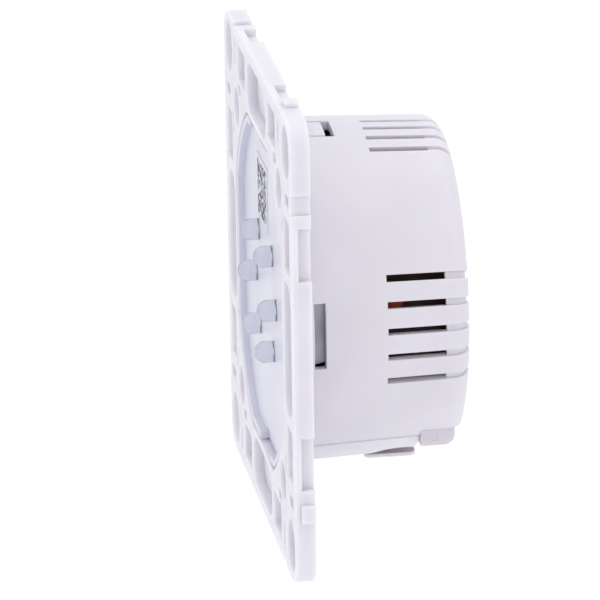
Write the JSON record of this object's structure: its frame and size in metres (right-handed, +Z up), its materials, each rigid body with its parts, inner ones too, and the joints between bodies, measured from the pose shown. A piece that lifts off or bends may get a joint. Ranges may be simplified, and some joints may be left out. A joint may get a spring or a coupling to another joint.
{
  "type": "wall thermostat",
  "caption": "Round in-wall touch thermostat module with a square mounting frame, vented rear housing, touch and power boards, and a screw terminal block with rising clamps.",
  "frame": {"origin": "centre of the mounting frame's rear face, on the wall plane", "axes": "+X right seen from the front, +Z up, +Y into the wall; the front faces -Y"},
  "size_m": [0.0724, 0.0301, 0.0724],
  "materials": {
    "white_pc": "satin moulded plastic",
    "cover_plastic": "translucent satin plastic",
    "paper_label": "printed label",
    "clear_plastic": "clear polished plastic",
    "board_green": "solder mask",
    "board_brown": "phenolic board",
    "led_body": "moulded",
    "display_grey": "moulded",
    "chip_black": "moulded",
    "tin": "tinned",
    "can_steel": "drawn can",
    "buzzer_black": "moulded",
    "brass_clip": "spring brass",
    "header_black": "moulded",
    "zinc_steel": "zinc plated sheet",
    "fibre_sheet": "insulating sheet",
    "nylon": "moulded nylon",
    "relay_case": "moulded case",
    "ferrite": "sintered",
    "winding_tape": "polyester tape",
    "sleeve_black": "shrink sleeve",
    "film_case": "dipped epoxy",
    "varistor_blue": "dipped epoxy",
    "ceramic_orange": "dipped epoxy",
    "fuse_body": "ceramic tube",
    "terminal_grey": "moulded nylon",
    "bar_brass": "tinned brass",
    "clamp_steel": "zinc plated",
    "screw_steel": "zinc plated"
  },
  "bodies": {
    "thermostat": {"mounting_frame": "white_pc", "window_cover": "cover_plastic", "code_label": "paper_label", "light_pipes": "clear_plastic", "touch_board": "board_green", "indicator_leds": "led_body", "digit_display": "display_grey", "controller_chip": "chip_black", "controller_leads": "tin", "crystal_can": "can_steel", "buzzer": "buzzer_black", "backup_cell": "can_steel", "cell_clip": "brass_clip", "board_header": "header_black", "board_socket": "header_black", "temperature_sensor": "chip_black", "steel_bracket": "zinc_steel", "insulation_sheet": "fibre_sheet", "board_spacers": "nylon", "power_board": "board_brown", "relay": "relay_case", "transformer_core": "ferrite", "transformer_winding": "winding_tape", "mains_capacitors": "sleeve_black", "film_capacitor": "film_case", "varistor": "varistor_blue", "ceramic_capacitors": "ceramic_orange", "fuse": "fuse_body", "bridge_rectifier": "chip_black", "board_screws": "screw_steel", "terminal_block": "terminal_grey", "terminal_bars": "bar_brass", "rear_housing": "white_pc"},
    "clamp_1": {"terminal_clamp_1": "clamp_steel"},
    "screw_1": {"terminal_screw_1": "screw_steel"},
    "clamp_2": {"terminal_clamp_2": "clamp_steel"},
    "screw_2": {"terminal_screw_2": "screw_steel"},
    "clamp_3": {"terminal_clamp_3": "clamp_steel"},
    "screw_3": {"terminal_screw_3": "screw_steel"},
    "clamp_4": {"terminal_clamp_4": "clamp_steel"},
    "screw_4": {"terminal_screw_4": "screw_steel"},
    "clamp_5": {"terminal_clamp_5": "clamp_steel"},
    "screw_5": {"terminal_screw_5": "screw_steel"},
    "clamp_6": {"terminal_clamp_6": "clamp_steel"},
    "screw_6": {"terminal_screw_6": "screw_steel"}
  },
  "joints": [
    {"name": "screw_1_turn", "type": "hinge", "parent": "thermostat", "child": "screw_1", "pos_m": [-0.0125, 0.0212, -0.0196], "axis": [0, 0, 1], "range_deg": [0, 1152]},
    {"name": "clamp_1_rise", "type": "slide", "parent": "thermostat", "child": "clamp_1", "axis": [0, 0, -1], "range_m": [0, 0.0016]},
    {"name": "screw_2_turn", "type": "hinge", "parent": "thermostat", "child": "screw_2", "pos_m": [-0.0075, 0.0212, -0.0196], "axis": [0, 0, 1], "range_deg": [0, 1152]},
    {"name": "clamp_2_rise", "type": "slide", "parent": "thermostat", "child": "clamp_2", "axis": [0, 0, -1], "range_m": [0, 0.0016]},
    {"name": "screw_3_turn", "type": "hinge", "parent": "thermostat", "child": "screw_3", "pos_m": [-0.0025, 0.0212, -0.0196], "axis": [0, 0, 1], "range_deg": [0, 1152]},
    {"name": "clamp_3_rise", "type": "slide", "parent": "thermostat", "child": "clamp_3", "axis": [0, 0, -1], "range_m": [0, 0.0016]},
    {"name": "screw_4_turn", "type": "hinge", "parent": "thermostat", "child": "screw_4", "pos_m": [0.0025, 0.0212, -0.0196], "axis": [0, 0, 1], "range_deg": [0, 1152]},
    {"name": "clamp_4_rise", "type": "slide", "parent": "thermostat", "child": "clamp_4", "axis": [0, 0, -1], "range_m": [0, 0.0016]},
    {"name": "screw_5_turn", "type": "hinge", "parent": "thermostat", "child": "screw_5", "pos_m": [0.0075, 0.0212, -0.0196], "axis": [0, 0, 1], "range_deg": [0, 1152]},
    {"name": "clamp_5_rise", "type": "slide", "parent": "thermostat", "child": "clamp_5", "axis": [0, 0, -1], "range_m": [0, 0.0016]},
    {"name": "screw_6_turn", "type": "hinge", "parent": "thermostat", "child": "screw_6", "pos_m": [0.0125, 0.0212, -0.0196], "axis": [0, 0, 1], "range_deg": [0, 1152]},
    {"name": "clamp_6_rise", "type": "slide", "parent": "thermostat", "child": "clamp_6", "axis": [0, 0, -1], "range_m": [0, 0.0016]}
  ],
  "couplings": [
    {"joint": "screw_1_turn", "follows": "clamp_1_rise", "rad_per_m": 12566},
    {"joint": "screw_2_turn", "follows": "clamp_2_rise", "rad_per_m": 12566},
    {"joint": "screw_3_turn", "follows": "clamp_3_rise", "rad_per_m": 12566},
    {"joint": "screw_4_turn", "follows": "clamp_4_rise", "rad_per_m": 12566},
    {"joint": "screw_5_turn", "follows": "clamp_5_rise", "rad_per_m": 12566},
    {"joint": "screw_6_turn", "follows": "clamp_6_rise", "rad_per_m": 12566}
  ]
}
